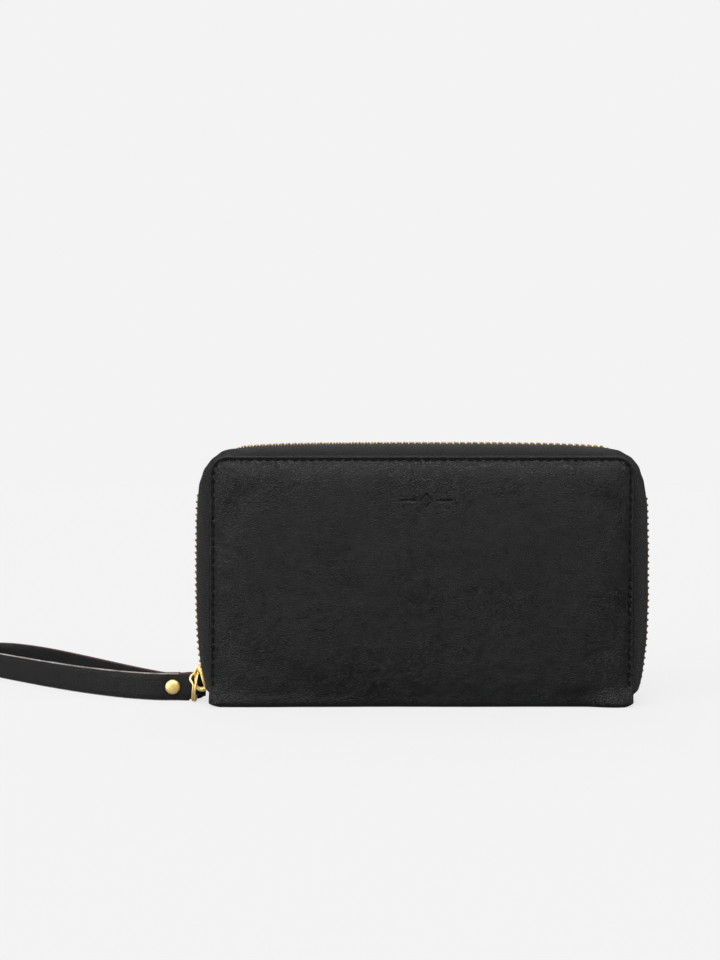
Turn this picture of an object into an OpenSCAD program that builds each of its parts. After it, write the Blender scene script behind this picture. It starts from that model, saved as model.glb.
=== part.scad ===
// Wristlet wallet: a zip-around wallet standing on its spine fold, zip on the left, top and right.
// Origin: centre of the spine's resting face. +X right, front panel faces -Y, +Z up. Millimetres.

/* [Case] */
// Width of the front and back panels
panel_w = 168; // [150:1:200]
// Height of the panels above the resting face
panel_h = 99; // [85:1:120]
// Thickness of the closed wallet
case_t = 22; // [22:0.5:28]
// Radius of the panels' upper corners
corner_r = 7; // [5:0.5:8]
// Radius of the panels' lower corners, where the leather turns under
foot_r = 5; // [4:0.5:6]
// Thickness of the outer leather
leather_t = 1.2; // [0.8:0.1:1.4]
// Thickness of each cover's stiffening board
board_t = 0.5; // [0.4:0.1:0.6]
// Thickness of the lining
lining_t = 0.5; // [0.4:0.1:0.6]

/* [Inside] */
// Thickness of one card slot layer
slot_t = 0.5; // [0.4:0.05:0.5]
// Thickness of the coin pocket
coin_t = 4.8; // [4.6:0.1:4.8]
// Height of the coin pocket's top edge
coin_top = 79; // [70:1:80]
// Thickness of one coin pocket wall
coin_wall = 0.8; // [0.6:0.1:0.8]
// Length of the coin zip's pull
coin_pull_l = 13; // [8:1:14]

/* [Main zip] */
// Distance from one outer side of the zip to the other
zip_w = 182.4; // [180:0.2:186]
// Height of the zip's top above the resting face
zip_h = 104.7; // [103:0.1:106]
// Radius of the zip's gently bowed sides
zip_side_r = 354; // [330:2:400]
// Radius of the zip's upper corners
zip_corner_r = 18; // [14:0.5:20]
// Distance from one tooth to the next
tooth_pitch = 2.54; // [2.4:0.02:2.8]
// Thickness of a tooth, across the tape
tooth_t = 2; // [1.6:0.1:2]

/* [Wrist strap] */
// Width of the strap
strap_w = 11; // [9:0.5:11]
// Thickness of the strap's leather
strap_t = 1.4; // [1.2:0.1:1.4]
// Middle radius of the split ring
ring_r = 6.1; // [6:0.1:6.2]
// Diameter of the rivet's head
rivet_d = 6; // [5:0.5:7]

/* [Hidden] */

// Case
half_t = case_t / 2;
spine_gap = 0.3;                              // between the spine and the front cover's lower edge
front_low = leather_t + spine_gap;            // height of the front cover's lower edge
cover_t = leather_t + board_t + lining_t;
spine_lining_t = 0.4;
spine_lining_gap = 0.6;                       // between the spine's lining and the front's lining
board_inset = 2;                              // board's edge to the leather's edge
lining_inset = 1;
slot_side = 8;                                // card slots' sides to the cover's sides
slot_w = panel_w - 2 * slot_side;
slot_r = 2;
slot_low = 6;
slot_top = 88;                                // top edge of the deepest card slot
slot_step = 11;                               // each slot is this much shorter than the one behind
slot_y = half_t - cover_t;                    // distance of the lining's inner face from the middle

// Main zip: a bowed side, a corner and a straight top, mirrored on the right
mid_side_r = zip_side_r - tooth_t / 2;
mid_corner_r = zip_corner_r - tooth_t / 2;
bow_x = zip_side_r - zip_w / 2;               // centre of the left side's arc
bow_z = 57;
zip_low = 5.5;
bow_start = asin((zip_low - bow_z) / mid_side_r);
bow_end = asin((zip_h - zip_corner_r - bow_z) / (zip_side_r - zip_corner_r));
corner_x = bow_x - (mid_side_r - mid_corner_r) * cos(bow_end);
corner_z = bow_z + (mid_side_r - mid_corner_r) * sin(bow_end);
side_l = mid_side_r * (bow_end - bow_start) * PI / 180;
bend_l = mid_corner_r * (90 - bow_end) * PI / 180;
zip_half_l = side_l + bend_l - corner_x;
tooth_count = floor(2 * zip_half_l / tooth_pitch);
tooth_w = 2.5;                                // across the chain
tooth_l = 1.3;                                // along the chain
chain_gap = 0.5;                              // from the middle plane to a row of teeth
stop_l = 1.6;
top_stop_low = 3.4;
top_stop_w = 1.8;
bottom_stop_low = 2.8;
bottom_stop_w = 4.8;
tape_lap = 4;                                 // how far the tape reaches in behind the cover's edge
tape_t = 0.6;
side_steps = 10;
bend_steps = 8;

// A place on the chain, from its left end: x, z and the turn about Y. Local -X points outwards.
function left_place(s) =
    s < side_l ? bow_place(bow_start + s / mid_side_r * 180 / PI)
    : s < side_l + bend_l ? bend_place(bow_end + (s - side_l) / mid_corner_r * 180 / PI)
    : [corner_x + s - side_l - bend_l, corner_z + mid_corner_r, 90];
function bow_place(a) = [bow_x - mid_side_r * cos(a), bow_z + mid_side_r * sin(a), a];
function bend_place(a) = [corner_x - mid_corner_r * cos(a), corner_z + mid_corner_r * sin(a), a];

// The left halves of the chain's middle line and of the tape's inner edge, step by step
chain_half = concat(
    [for (i = [0:side_steps]) bow_place(bow_start + (bow_end - bow_start) * i / side_steps)],
    [for (i = [1:bend_steps]) bend_place(bow_end + (90 - bow_end) * i / bend_steps)]
);
lap_r = 3;
lap_x = panel_w / 2 - tape_lap - lap_r;
lap_z = panel_h - tape_lap - lap_r;
lap_half = concat(
    [for (i = [0:side_steps]) [-lap_x - lap_r, zip_low + (lap_z - zip_low) * i / side_steps]],
    [for (i = [1:bend_steps]) [-lap_x - lap_r * cos(90 * i / bend_steps),
                               lap_z + lap_r * sin(90 * i / bend_steps)]]
);
// Tape's cross-section: share of the way from its inner edge to the chain, and distance from the middle
tape_face = slot_y;
tape_section = [
    [0, tape_face], [0.40, tape_face], [0.62, tape_face - 0.5], [0.82, tape_face - 2.2],
    [0.95, tape_face - 4.0], [1.03, chain_gap + tooth_w],
    [0.97, chain_gap + tooth_w], [0.88, tape_face - 4.2], [0.75, tape_face - 2.6],
    [0.57, tape_face - 1.1], [0.38, tape_face - tape_t], [0, tape_face - tape_t]
];

// Coin pocket
coin_half_w = 72;
coin_low = 4.5;
coin_r = 2;
seam_w = 2;
seam_h = 1;
seam_top = 8;                                 // the side seams stop this far below the zip, less seam_w
coil_low = coin_top + 1.2;
coil_h = 1.6;
coil_in = 0.35;
coil_out = 1.7;
coil_play = 0.25;                             // from the coils to the slider's plates
coil_end = 4;                                 // the coils' ends to the pocket's sides
coin_tape_t = 0.5;
coin_tape_in = 3;
coin_tape_back = 0.1;                         // a tape's outer face to its coil's outer face
coin_tape_lap = 5.5;                          // how far the tapes reach in between the walls
coin_slider_x = -62;
coin_slider_l = 7;
coin_slider_w = 4;
coin_plate_t = 0.7;
coin_foot_w = 1.8;
coin_post_t = 0.3;
coin_ear_t = 0.4;
coin_ear_l = 1.4;
coin_ear_rim = 0.5;                           // from the bar's middle to the ears' top
coin_pull_w = 2.8;
coin_pull_t = 0.8;
coin_bar_z = coil_low + coil_h + 2.1;         // height of the pull's bar
coin_bar_r = 0.4;
pull_eye_r = 0.95;
pull_play = 0.06;                             // from the bar to the pull's eye

// Gussets
gusset_t = 0.5;
gusset_low = 8;
gusset_h = 80;
gusset_in = 6.4;                              // outer folds to the cover's side
gusset_fold = 4;                              // depth of a pleat
gusset_rim = 2.4;                             // a gusset's edge to the lining
gusset_step = 0.6;                            // the inner folds reach this much less far out
gusset_gap = 0.7;                             // middle fold to the coin pocket's side

// Main slider, built at the chain's middle line and turned to where it rests
slider_z = 10;
slider_turn = asin((slider_z - bow_z) / mid_side_r);
slider_l = 10;
slider_half_w = 3.6;
plate_t = 0.9;
channel = tooth_t / 2 + 0.5;                  // half the space between the two plates
slider_post_t = 0.6;
slider_post_l = 2;
slider_post_in = 0.5;                         // the post's end to the plates' lower edge
fused = 0.2;                                  // how far the casting's pieces reach into each other
bail_w = 2.2;
bail_h = 9.2;
bail_t = 0.8;
bail_reach = 3.3;                             // from the outer plate to the bail's outer face

// Split ring, rivet and strap
ring_x = -91.4;
ring_y = 2.2;
ring_z = 6.6;
ring_lean = 5;
ring_wire = 0.9;
ring_band = 1.5;
fold_x = -91.3;
fold_y = 7.2;
fold_r = 2.7;
rivet_x = -101;
rivet_z = strap_w / 2;
rivet_post_r = 1.2;
rivet_rise = 1.1;                             // height of the rivet's domed head
rivet_foot_t = 0.8;
stack_y = 6.6;                                // middle of the three layers at the rivet
layer = strap_t + 0.1;
neck_x = -95;                                 // the strap is narrower from here to the ring
neck_low = 2.3;
loop_steps = 14;

function bezier(p, t) =
    pow(1 - t, 3) * p[0] + 3 * t * pow(1 - t, 2) * p[1] + 3 * t * t * (1 - t) * p[2] + pow(t, 3) * p[3];
back_run = [[-105, stack_y + layer], [-136, 40], [-178, 107], [-200, 107]];
tip_run = [[-200, 107], [-215, 107], [-217, 97], [-207, 87]];
front_run = [[-207, 87], [-170, 49], [-131, 9], [-105, stack_y - layer]];
strap_line = concat(
    [[-98.4, stack_y + layer]],
    [for (i = [0:loop_steps]) bezier(back_run, i / loop_steps)],
    [for (i = [1:8]) bezier(tip_run, i / 8)],
    [for (i = [1:loop_steps]) bezier(front_run, i / loop_steps)],
    [[-98, stack_y - layer], [neck_x, fold_y - fold_r + 0.2]],
    [for (a = [-90:15:90]) [fold_x + fold_r * cos(a), fold_y + fold_r * sin(a)]],
    [[-93, fold_y + fold_r - 0.3], [-95.2, fold_y + fold_r - 1.7], [-97, stack_y + 0.4]],
    [[-98.4, stack_y], [-104.4, stack_y]]
);

function unit(v) = v / norm(v);
function turned(v) = [-v[1], v[0]];
function side_of(line, i, reach) =
    let (last = len(line) - 1,
         along = unit(line[min(i + 1, last)] - line[max(i - 1, 0)]))
    line[i] + reach * turned(along);
function thick_line(line, t) = concat(
    [for (i = [0:len(line) - 1]) side_of(line, i, t / 2)],
    [for (i = [len(line) - 1:-1:0]) side_of(line, i, -t / 2)]
);

module panel_outline(w, low, high, r, foot) {
    translate([-w / 2, low + foot]) square([w, high - low - foot - r]);
    translate([-w / 2 + r, low + foot]) square([w - 2 * r, high - low - foot]);
    translate([-w / 2 + foot, low]) square([w - 2 * foot, high - low - r]);
    for (x = [-1, 1]) {
        translate([x * (w / 2 - r), high - r]) circle(r, $fn = 32);
        translate([x * (w / 2 - foot), low + foot]) circle(foot, $fn = 32);
    }
}

// A sheet standing in the XZ plane from y to y + t: r rounds its upper corners, foot its lower ones
module sheet(w, low, high, r, foot, y, t) {
    translate([0, y + t, 0]) rotate([90, 0, 0]) linear_extrude(t) panel_outline(w, low, high, r, foot);
}

// One sheet of a cover, this far inside the cover's edge
module cover_sheet(low, inset, y, t) {
    sheet(panel_w - 2 * inset, low + inset, panel_h - inset, corner_r - inset, foot_r - inset, y, t);
}

module front_cover() {
    color("#2a2a2c") cover_sheet(front_low, 0, -half_t, leather_t);
}
module front_board() {
    color("#8a7b63") cover_sheet(front_low, board_inset, -half_t + leather_t, board_t);
}
module front_lining() {
    color("#1c1c1e") cover_sheet(front_low, lining_inset, -slot_y - lining_t, lining_t);
}
module back_cover() {
    color("#2a2a2c") cover_sheet(0, 0, half_t - leather_t, leather_t);
}
module back_board() {
    color("#8a7b63") cover_sheet(front_low, board_inset, slot_y + lining_t, board_t);
}
module back_lining() {
    color("#1c1c1e") cover_sheet(front_low, lining_inset, slot_y, lining_t);
}
module spine() {
    color("#2a2a2c") translate([-panel_w / 2 + foot_r, -half_t, 0])
        cube([panel_w - 2 * foot_r, case_t - leather_t, leather_t]);
}
module spine_lining() {
    color("#1c1c1e") translate([-slot_w / 2, -slot_y + spine_lining_gap, leather_t])
        cube([slot_w, 2 * slot_y - spine_lining_gap, spine_lining_t]);
}

// One card slot layer: number 1 is the deepest and tallest; side -1 is the front, 1 the back
module card_slot(number, side) {
    near = slot_y - number * slot_t;
    y = side < 0 ? -near - slot_t : near;
    color("#262628") sheet(slot_w, slot_low, slot_top - (number - 1) * slot_step,
        slot_r, slot_r, y, slot_t);
}

module at_chain(s) {
    right = s > zip_half_l;
    p = left_place(right ? 2 * zip_half_l - s : s);
    mirror([right ? 1 : 0, 0, 0]) translate([p[0], 0, p[1]]) rotate([0, p[2], 0]) children();
}
module teeth_row(y) {
    color("#b8923c") for (i = [0:tooth_count - 1])
        at_chain((i + 0.5) * 2 * zip_half_l / tooth_count)
            translate([-tooth_t / 2, y, -tooth_l / 2]) cube([tooth_t, tooth_w, tooth_l]);
}
module zip_tape(side) {
    steps = len(chain_half);
    count = len(tape_section);
    order = side < 0 ? 1 : -1;
    left = [for (i = [0:steps - 1], k = [0:count - 1])
        let (w = tape_section[k][0], a = lap_half[i], b = chain_half[i])
        [a[0] + w * (b[0] - a[0]), side * tape_section[k][1], a[1] + w * (b[1] - a[1])]];
    points = concat(left, [for (i = [steps - 1:-1:0], k = [0:count - 1])
        let (p = left[i * count + k]) [-p[0], p[1], p[2]]]);
    rings = 2 * steps;
    walls = [for (i = [0:rings - 2], k = [0:count - 1])
        let (n = (k + 1) % count)
        [i * count + k, i * count + n, (i + 1) * count + n, (i + 1) * count + k]];
    caps = [[for (k = [count - 1:-1:0]) k], [for (k = [0:count - 1]) (rings - 1) * count + k]];
    faces = concat(walls, caps);
    color("#1f1f21") polyhedron(points,
        order > 0 ? faces : [for (f = faces) [for (k = [len(f) - 1:-1:0]) f[k]]]);
}
// A stop at one end of the chain
module chain_end_block(right, low, y, width) {
    x = bow_x - mid_side_r * cos(bow_start);
    color("#b8923c") mirror([right ? 1 : 0, 0, 0])
        translate([x - tooth_t / 2, y, low]) cube([tooth_t, width, stop_l]);
}

// A pleated side, seen from above: its edges stand at the linings, its middle fold at the coin pocket
module gusset(side) {
    outer = panel_w / 2 - gusset_in;
    inner = outer - gusset_fold;
    half = [[outer, -slot_y + gusset_rim], [inner, -slot_y / 2], [outer - gusset_step, -slot_y / 4]];
    line = concat(half, [[coin_half_w + gusset_gap, 0]], [for (i = [2:-1:0]) [half[i][0], -half[i][1]]]);
    color("#232325") mirror([side < 0 ? 1 : 0, 0, 0]) translate([0, 0, gusset_low])
        linear_extrude(gusset_h) polygon(thick_line(line, gusset_t));
}

module coin_wall_sheet(y) {
    color("#262628") sheet(2 * coin_half_w, coin_low, coin_top, coin_r, coin_r, y, coin_wall);
}
module coin_pocket_seam() {
    inner_t = coin_t - 2 * coin_wall;
    color("#1c1c1e") {
        translate([-coin_half_w + seam_w, -inner_t / 2, coin_low])
            cube([2 * (coin_half_w - seam_w), inner_t, seam_h]);
        for (x = [-coin_half_w, coin_half_w - seam_w])
            translate([x, -inner_t / 2, coin_low + seam_w])
                cube([seam_w, inner_t, coin_top - coin_low - seam_top]);
    }
}
module coin_tape(side) {
    far = coil_out - coin_tape_back;
    near_y = side < 0 ? -far : far - coin_tape_t;
    color("#1c1c1e") translate([-coin_half_w + coin_tape_in, near_y, coin_top - coin_tape_lap])
        cube([2 * (coin_half_w - coin_tape_in), coin_tape_t, coil_low - coin_top + coin_tape_lap]);
}
module coin_coil(side) {
    color("#333335") translate([-coin_half_w + coil_end, side < 0 ? -coil_out : coil_in, coil_low])
        cube([2 * (coin_half_w - coil_end), coil_out - coil_in, coil_h]);
}
// The coin zip's slider: a plate above the coils and one below, a post between, and the pull's bar
module coin_slider_body() {
    plate_low = coil_low + coil_h + coil_play;
    foot_top = coil_low - coil_play;
    half_w = coin_slider_w / 2;
    color("#c9a24a") translate([coin_slider_x - coin_slider_l / 2, 0, 0]) {
        translate([0, -half_w, plate_low]) cube([coin_slider_l, coin_slider_w, coin_plate_t]);
        translate([0, -coin_foot_w / 2, foot_top - coin_plate_t])
            cube([coin_slider_l, coin_foot_w, coin_plate_t]);
        translate([coin_ear_t, -coin_post_t / 2, coil_low - 2 * coil_play])
            cube([3 * coin_ear_t, coin_post_t, coil_h + 4 * coil_play]);
        for (y = [-half_w, half_w - coin_ear_t])
            translate([coin_slider_l / 2 - coin_ear_l / 2, y, plate_low])
                cube([coin_ear_l, coin_ear_t, coin_bar_z + coin_ear_rim - plate_low]);
        translate([coin_slider_l / 2, half_w, coin_bar_z])
            rotate([90, 0, 0]) cylinder(r = coin_bar_r, h = coin_slider_w, $fn = 24);
    }
}
module coin_pull() {
    tip_r = coin_pull_w / 2;
    color("#c9a24a") translate([coin_slider_x, 0, coin_bar_z]) difference() {
        union() {
            translate([0, tip_r, 0]) rotate([90, 0, 0])
                cylinder(r = pull_eye_r, h = coin_pull_w, $fn = 32);
            translate([0, -tip_r, -coin_pull_t / 2]) cube([coin_pull_l - tip_r, coin_pull_w, coin_pull_t]);
            translate([coin_pull_l - tip_r, 0, -coin_pull_t / 2])
                cylinder(r = tip_r, h = coin_pull_t, $fn = 32);
        }
        translate([0, coin_pull_w, 0]) rotate([90, 0, 0])
            cylinder(r = coin_bar_r + pull_play, h = 2 * coin_pull_w, $fn = 32);
    }
}

module zip_slider() {
    color("#d4a63c") translate([bow_x, 0, bow_z]) rotate([0, slider_turn, 0])
        translate([-mid_side_r, 0, 0]) {
            for (x = [-channel - plate_t, channel])
                translate([x, -slider_half_w, -slider_l / 2])
                    cube([plate_t, 2 * slider_half_w, slider_l]);
            translate([-channel - fused, -slider_post_t / 2, -slider_l / 2 + slider_post_in])
                cube([2 * (channel + fused), slider_post_t, slider_post_l]);
            bail();
        }
}
// The bail: an arch that stands on the outer plate, with a window for the ring
module bail() {
    root = -channel - plate_t;
    low = -bail_h / 2;
    translate([root - bail_reach, -bail_w / 2, low]) cube([bail_t, bail_w, bail_h]);
    for (z = [low, bail_h / 2 - bail_t])
        translate([root - bail_reach, -bail_w / 2, z]) cube([bail_reach + fused, bail_w, bail_t]);
}
module split_ring() {
    color("#d4a63c") translate([ring_x, ring_y, ring_z]) rotate([0, 90 + ring_lean, 0])
        rotate_extrude($fn = 64) translate([ring_r - ring_wire / 2, -ring_band / 2])
            square([ring_wire, ring_band]);
}

module wrist_strap() {
    color("#242426") difference() {
        linear_extrude(strap_w) polygon(thick_line(strap_line, strap_t));
        translate([neck_x, 0, -1]) cube([2 * strap_w, 2 * strap_w, neck_low + 1]);
        translate([rivet_x, stack_y + strap_w / 2, rivet_z]) rotate([90, 0, 0])
            cylinder(r = rivet_post_r, h = strap_w, $fn = 32);
    }
}
module rivet_cap() {
    ball_r = (rivet_d * rivet_d / 4 + rivet_rise * rivet_rise) / (2 * rivet_rise);
    face = stack_y - layer - strap_t / 2;
    color("#d4a63c") translate([rivet_x, face, rivet_z]) rotate([90, 0, 0]) intersection() {
        translate([0, 0, rivet_rise - ball_r]) sphere(ball_r, $fn = 64);
        cylinder(r = rivet_d, h = 2 * rivet_rise, $fn = 64);
    }
}
module rivet_post() {
    front_face = stack_y - layer - strap_t / 2;
    back_face = stack_y + layer + strap_t / 2;
    color("#d4a63c") translate([rivet_x, 0, rivet_z]) rotate([-90, 0, 0]) {
        translate([0, 0, front_face]) cylinder(r = rivet_post_r, h = back_face - front_face, $fn = 32);
        translate([0, 0, back_face]) cylinder(r = rivet_d / 2, h = rivet_foot_t, $fn = 48);
    }
}

front_cover();
front_board();
front_lining();
card_slot(1, -1);  // front_card_slot_1
card_slot(2, -1);  // front_card_slot_2
card_slot(3, -1);  // front_card_slot_3
card_slot(4, -1);  // front_card_slot_4
zip_tape(-1);  // front_zip_tape
teeth_row(-chain_gap - tooth_w);  // front_zip_teeth
chain_end_block(false, top_stop_low, -chain_gap - top_stop_w, top_stop_w);  // front_top_stop
back_cover();
back_board();
back_lining();
card_slot(1, 1);  // back_card_slot_1
card_slot(2, 1);  // back_card_slot_2
card_slot(3, 1);  // back_card_slot_3
card_slot(4, 1);  // back_card_slot_4
zip_tape(1);  // back_zip_tape
teeth_row(chain_gap);  // back_zip_teeth
chain_end_block(false, top_stop_low, chain_gap, top_stop_w);  // back_top_stop
chain_end_block(true, bottom_stop_low, -bottom_stop_w / 2, bottom_stop_w);  // bottom_stop
spine();
spine_lining();
gusset(-1);  // left_gusset
gusset(1);  // right_gusset
coin_wall_sheet(-coin_t / 2);  // coin_front_wall
coin_wall_sheet(coin_t / 2 - coin_wall);  // coin_back_wall
coin_pocket_seam();
coin_tape(-1);  // coin_zip_front_tape
coin_tape(1);  // coin_zip_back_tape
coin_coil(-1);  // coin_zip_front_coil
coin_coil(1);  // coin_zip_back_coil
coin_slider_body();
coin_pull();
zip_slider();
split_ring();
wrist_strap();
rivet_cap();
rivet_post();
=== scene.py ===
"""A wristlet wallet standing on its spine fold: the looks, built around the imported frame.

Lengths in the functions are millimetres; make_mesh() turns them into metres.
"""

import math

import bmesh
import bpy
import numpy as np
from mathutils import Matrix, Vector, noise

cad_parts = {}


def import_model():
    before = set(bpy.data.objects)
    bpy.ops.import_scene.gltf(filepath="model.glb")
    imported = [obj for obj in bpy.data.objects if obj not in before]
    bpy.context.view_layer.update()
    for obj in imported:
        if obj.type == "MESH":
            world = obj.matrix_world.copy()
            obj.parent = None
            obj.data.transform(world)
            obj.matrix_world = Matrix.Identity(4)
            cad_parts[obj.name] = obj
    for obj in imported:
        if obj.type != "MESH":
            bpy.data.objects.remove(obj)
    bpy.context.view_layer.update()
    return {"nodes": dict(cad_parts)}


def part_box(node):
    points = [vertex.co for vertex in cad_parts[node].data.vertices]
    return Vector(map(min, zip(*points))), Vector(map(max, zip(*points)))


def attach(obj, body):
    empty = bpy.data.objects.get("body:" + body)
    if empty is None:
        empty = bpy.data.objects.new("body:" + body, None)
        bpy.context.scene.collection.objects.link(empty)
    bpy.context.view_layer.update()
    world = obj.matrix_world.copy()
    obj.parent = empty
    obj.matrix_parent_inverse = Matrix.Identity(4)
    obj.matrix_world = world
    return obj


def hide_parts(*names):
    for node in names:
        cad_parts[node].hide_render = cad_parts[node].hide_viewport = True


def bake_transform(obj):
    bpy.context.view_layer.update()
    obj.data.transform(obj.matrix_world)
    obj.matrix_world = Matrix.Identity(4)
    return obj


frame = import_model()
MM = 0.001


def cad_box(node):
    """The node's lowest and highest corner in millimetres."""
    low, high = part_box(node)
    return Vector(low) / MM, Vector(high) / MM


# ---------------------------------------------------------------- sizes, from the frame where it has them
COVER_LOW, COVER_HIGH = cad_box("back_cover")
HALF_W = COVER_HIGH.x
HEIGHT = COVER_HIGH.z
HALF_T = COVER_HIGH.y
LEATHER = COVER_HIGH.y - COVER_LOW.y
TEETH_HIGH = cad_box("back_zip_teeth")[1]
CHAIN_W = TEETH_HIGH.x
CHAIN_TOP = TEETH_HIGH.z
TOOTH_T = 2.0
TOOTH_PITCH = 2.54
STRAP_LOW, STRAP_HIGH = cad_box("wrist_strap")
STRAP_W = STRAP_HIGH.z - STRAP_LOW.z
STRAP_T = 1.4
CORNER_R = 7.2
FOOT_RISE = 1.9         # the cover's lower corners sweep in to the spine: height
FOOT_RUN = 8.0          # and length
FOLD_R = 1.7            # bend of the leather from the cover to the spine
STITCH_IN = 1.65        # stitch line to the cover's edge
STITCH_PITCH = 3.45
CROWN_IN = 1.9          # where the crown begins, from the cover's edge
CROWN = 1.5             # how far the cover's leather stands proud in the middle
SHOULDER = 1.6          # and its further rise close to the edges
FRONT_SHIFT = -0.6      # the front sits a little to the left of the back


def smooth(t):
    t = min(1.0, max(0.0, t))
    return t * t * (3 - 2 * t)


def bump(t):
    """A smooth hump, 1 at t = 0 and 0 beyond -1 and 1."""
    return smooth(1 - abs(t))


def mix(a, b, t):
    return a + (b - a) * t


def bezier(p, t):
    """The point at t of the cubic curve with the four control points p."""
    s = 1 - t
    return tuple(s ** 3 * a + 3 * s * s * t * b + 3 * s * t * t * c + t ** 3 * d
                 for a, b, c, d in zip(*p))


def bezier_chain(runs, steps):
    """Points along joined Bezier runs, without repeating the joints."""
    points = [bezier(runs[0], 0)]
    for run in runs:
        points += [bezier(run, i / steps) for i in range(1, steps + 1)]
    return points


class Path:
    """A polyline that can be read by length, in any number of dimensions."""

    def __init__(self, points):
        self.p = np.array(points, float)
        step = np.linalg.norm(np.diff(self.p, axis=0), axis=1)
        self.s = np.concatenate([[0], np.cumsum(step)])
        self.length = self.s[-1]

    def at(self, s):
        return np.array([np.interp(s, self.s, self.p[:, k]) for k in range(self.p.shape[1])])

    def along(self, s, reach=0.4):
        d = self.at(min(s + reach, self.length)) - self.at(max(s - reach, 0))
        return d / np.linalg.norm(d)

    def walk(self, steps, reach=0.4):
        """Even steps along a flat path: the length so far, the point and the normal."""
        for k in range(steps + 1):
            s = self.length * k / steps
            t = self.along(s, reach)
            yield s, self.at(s), (-t[1], t[0])


# ---------------------------------------------------------------- meshes
def make_mesh(name, verts, faces, materials, indices=None, uvs=None, sharp=50):
    """A smooth-shaded object from vertices in millimetres."""
    mesh = bpy.data.meshes.new(name)
    mesh.from_pydata([tuple(c * MM for c in v) for v in verts], [], faces)
    for m in materials if isinstance(materials, (list, tuple)) else [materials]:
        mesh.materials.append(m)
    if indices:
        mesh.polygons.foreach_set("material_index", indices)
    if uvs:
        layer = mesh.uv_layers.new(name="run")
        for loop in mesh.loops:
            layer.data[loop.index].uv = uvs[loop.vertex_index]
    mesh.polygons.foreach_set("use_smooth", [True] * len(mesh.polygons))
    mesh.validate()
    mesh.set_sharp_from_angle(angle=math.radians(sharp))
    piece = bpy.data.objects.new(name, mesh)
    bpy.context.scene.collection.objects.link(piece)
    return piece


def weld(piece, reach=0.001):
    """Joins vertices that lie on each other and turns the faces outwards."""
    work = bmesh.new()
    work.from_mesh(piece.data)
    bmesh.ops.remove_doubles(work, verts=work.verts, dist=reach * MM)
    bmesh.ops.recalc_face_normals(work, faces=work.faces)
    work.to_mesh(piece.data)
    work.free()
    return piece


def place(piece, body, replaces=()):
    """The piece rides on a body and stands for CAD nodes."""
    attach(piece, body)
    if replaces:
        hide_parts(*replaces)
    return piece


def grid_faces(rows, columns, first=0, closed=False, flip=False):
    """Quads between rows of vertices; closed joins the last column to the first."""
    faces = []
    for i in range(rows - 1):
        for j in range(columns if closed else columns - 1):
            n = (j + 1) % columns
            quad = (first + i * columns + j, first + i * columns + n,
                    first + (i + 1) * columns + n, first + (i + 1) * columns + j)
            faces.append(quad[::-1] if flip else quad)
    return faces


def closed_sheet(name, face, back, columns, materials, flip=False, sharp=70, reach=0.001):
    """A thin sheet as one closed mesh: two grids of vertices, row by row, and the border between."""
    n = len(face)
    rows = n // columns
    last = n - columns
    faces = grid_faces(rows, columns, 0, flip=flip) + grid_faces(rows, columns, n, flip=not flip)
    border = []
    for j in range(columns - 1):
        border.append((j + 1, j, n + j, n + j + 1))
        border.append((last + j, last + j + 1, n + last + j + 1, n + last + j))
    for i in range(rows - 1):
        a, b = i * columns, (i + 1) * columns
        c, d = a + columns - 1, b + columns - 1
        border.append((a, b, n + b, n + a))
        border.append((d, c, n + c, n + d))
    faces += [quad[::-1] if flip else quad for quad in border]
    return weld(make_mesh(name, face + back, faces, materials, sharp=sharp), reach)


class Parts:
    """Collects many small solids into one mesh."""

    def __init__(self):
        self.verts, self.faces, self.uvs, self.indices = [], [], [], []

    def loft(self, rings, uvs=None):
        """A solid through rings of points, closed at both ends."""
        first, count = len(self.verts), len(rings[0])
        for k, ring in enumerate(rings):
            self.verts += [tuple(v) for v in ring]
            self.uvs += uvs[k] if uvs else [(0, 0)] * count
        made = grid_faces(len(rings), count, first, closed=True)
        made.append(tuple(range(first + count - 1, first - 1, -1)))
        last = first + (len(rings) - 1) * count
        made.append(tuple(range(last, last + count)))
        self.faces += made
        self.indices += [0] * len(made)

    def tube(self, points, radius, sides=8, up=(0, 0, 1)):
        """A round wire along points. radius is a number, or a function of the share of the way."""
        p = [Vector(q) for q in points]
        last = len(p) - 1
        rings, uvs, run = [], [], 0.0
        rise = Vector(up)
        for i in range(last + 1):
            t = (p[min(i + 1, last)] - p[max(i - 1, 0)]).normalized()
            side = rise.cross(t)
            side = side.normalized() if side.length > 1e-6 else Vector((1, 0, 0))
            rise = t.cross(side).normalized()
            r = radius(i / last) if callable(radius) else radius
            rings.append([p[i] + r * (math.cos(a) * side + math.sin(a) * rise)
                          for a in (2 * math.pi * k / sides for k in range(sides))])
            run += (p[i] - p[i - 1]).length if i else 0
            uvs.append([(run * MM, k / sides) for k in range(sides)])
        self.loft(rings, uvs)

    def piece(self, name, materials, sharp=50):
        made = make_mesh(name, self.verts, self.faces, materials, self.indices, self.uvs, sharp)
        return weld(made, 0.0005)


def lofted(name, rings, materials, uvs=None, sharp=50):
    """A piece that is one solid through rings of points."""
    parts = Parts()
    parts.loft(rings, uvs)
    return parts.piece(name, materials, sharp)


# ---------------------------------------------------------------- materials
def add_node(tree, kind, inputs=None, **settings):
    """A node with its settings; an input is a value or another node's socket."""
    node = tree.nodes.new(kind)
    for key, value in settings.items():
        setattr(node, key, value)
    for key, value in (inputs or {}).items():
        if isinstance(value, bpy.types.NodeSocket):
            tree.links.new(value, node.inputs[key])
        else:
            node.inputs[key].default_value = value
    return node


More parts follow.
